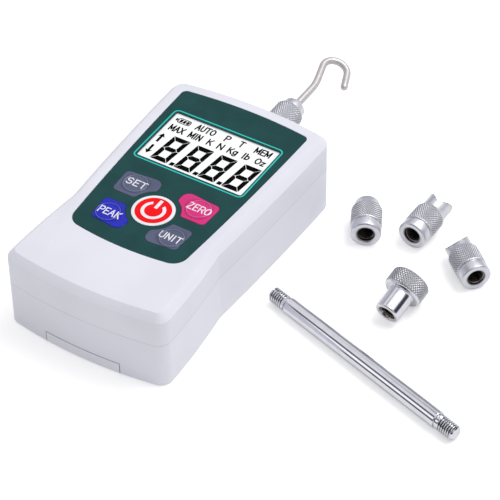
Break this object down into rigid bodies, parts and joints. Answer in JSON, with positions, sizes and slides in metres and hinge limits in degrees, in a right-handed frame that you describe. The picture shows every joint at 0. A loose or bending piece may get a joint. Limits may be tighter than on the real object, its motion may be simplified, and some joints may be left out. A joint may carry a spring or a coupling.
{
  "type": "force gauge",
  "caption": "Hand-held digital push-pull force gauge lying on its back, with its hook fitted and loose screw-on heads and an extension rod beside it.",
  "frame": {"origin": "centre of the casing's flat back, on the load line's plane of symmetry", "axes": "+Y along the load shaft towards the hook, +Z out of the display, +X to the display's right"},
  "size_m": [0.1692, 0.1842, 0.0345],
  "materials": {
    "casing": "fine satin moulded",
    "door": "fine satin moulded",
    "panel": "printed film",
    "key_film": "printed film, embossed",
    "power_key": "printed film",
    "clear_lens": "polished",
    "display_glass": "polished",
    "backlight": "smooth",
    "circuit_board": "solder mask",
    "switch": "moulded",
    "zinc_screw": "zinc plated",
    "beam": "machined",
    "bracket": "pressed and ground",
    "black_screw": "black oxide",
    "brass": "turned",
    "shaft": "ground and plated",
    "chromed": "bright plated",
    "battery": "printed sleeve",
    "contact": "nickel plated"
  },
  "bodies": {
    "gauge": {"front_cover": "casing", "rear_cover": "casing", "case_screws": "zinc_screw", "panel_overlay": "panel", "display_window": "clear_lens", "display_glass": "display_glass", "backlight": "backlight", "main_board": "circuit_board", "board_screws": "zinc_screw", "key_switches": "switch", "load_cell": "beam", "load_bracket": "bracket", "anchor_screw": "black_screw", "stand_inserts": "brass", "guide_bush": "brass", "battery_left": "battery", "battery_right": "battery", "contact_plates": "contact", "contact_springs": "contact"},
    "load_shaft": {"load_shaft": "shaft"},
    "hook": {"hook_barrel": "chromed", "hook": "chromed"},
    "battery_door": {"battery_door": "door"},
    "key_set": {"key_set": "key_film"},
    "key_zero": {"key_zero": "key_film"},
    "key_peak": {"key_peak": "key_film"},
    "key_unit": {"key_unit": "key_film"},
    "key_power": {"key_power": "power_key"},
    "cone_head": {"cone_head": "chromed"},
    "notch_head": {"notch_head": "chromed"},
    "chisel_head": {"chisel_head": "chromed"},
    "flat_head": {"flat_head": "chromed"},
    "extension_rod": {"extension_rod": "chromed"}
  },
  "joints": [
    {"name": "shaft_slide", "type": "slide", "parent": "gauge", "child": "load_shaft", "axis": [0, 1, 0], "range_m": [-0.0004, 0.0004], "stiffness_N_per_m": 2000},
    {"name": "hook_turn", "type": "hinge", "parent": "load_shaft", "child": "hook", "pos_m": [0, 0.0671, 0.0117], "axis": [0, 1, 0], "range_deg": [-180, 180]},
    {"name": "key_set_press", "type": "slide", "parent": "gauge", "child": "key_set", "axis": [0, 0, -1], "range_m": [0, 0.00035], "stiffness_N_per_m": 400},
    {"name": "key_zero_press", "type": "slide", "parent": "gauge", "child": "key_zero", "axis": [0, 0, -1], "range_m": [0, 0.00035], "stiffness_N_per_m": 400},
    {"name": "key_peak_press", "type": "slide", "parent": "gauge", "child": "key_peak", "axis": [0, 0, -1], "range_m": [0, 0.00035], "stiffness_N_per_m": 400},
    {"name": "key_unit_press", "type": "slide", "parent": "gauge", "child": "key_unit", "axis": [0, 0, -1], "range_m": [0, 0.00035], "stiffness_N_per_m": 400},
    {"name": "key_power_press", "type": "slide", "parent": "gauge", "child": "key_power", "axis": [0, 0, -1], "range_m": [0, 0.00035], "stiffness_N_per_m": 400},
    {"name": "door_slide", "type": "slide", "parent": "gauge", "child": "battery_door", "axis": [0, -1, 0], "range_m": [0, 0.062]},
    {"name": "cone_head_lift", "type": "slide", "parent": "gauge", "child": "cone_head", "axis": [0, 0, 1], "range_m": [0, 0.06]},
    {"name": "notch_head_lift", "type": "slide", "parent": "gauge", "child": "notch_head", "axis": [0, 0, 1], "range_m": [0, 0.06]},
    {"name": "chisel_head_lift", "type": "slide", "parent": "gauge", "child": "chisel_head", "axis": [0, 0, 1], "range_m": [0, 0.06]},
    {"name": "flat_head_lift", "type": "slide", "parent": "gauge", "child": "flat_head", "axis": [0, 0, 1], "range_m": [0, 0.06]},
    {"name": "extension_rod_lift", "type": "slide", "parent": "gauge", "child": "extension_rod", "axis": [0, 0, 1], "range_m": [0, 0.06]}
  ]
}
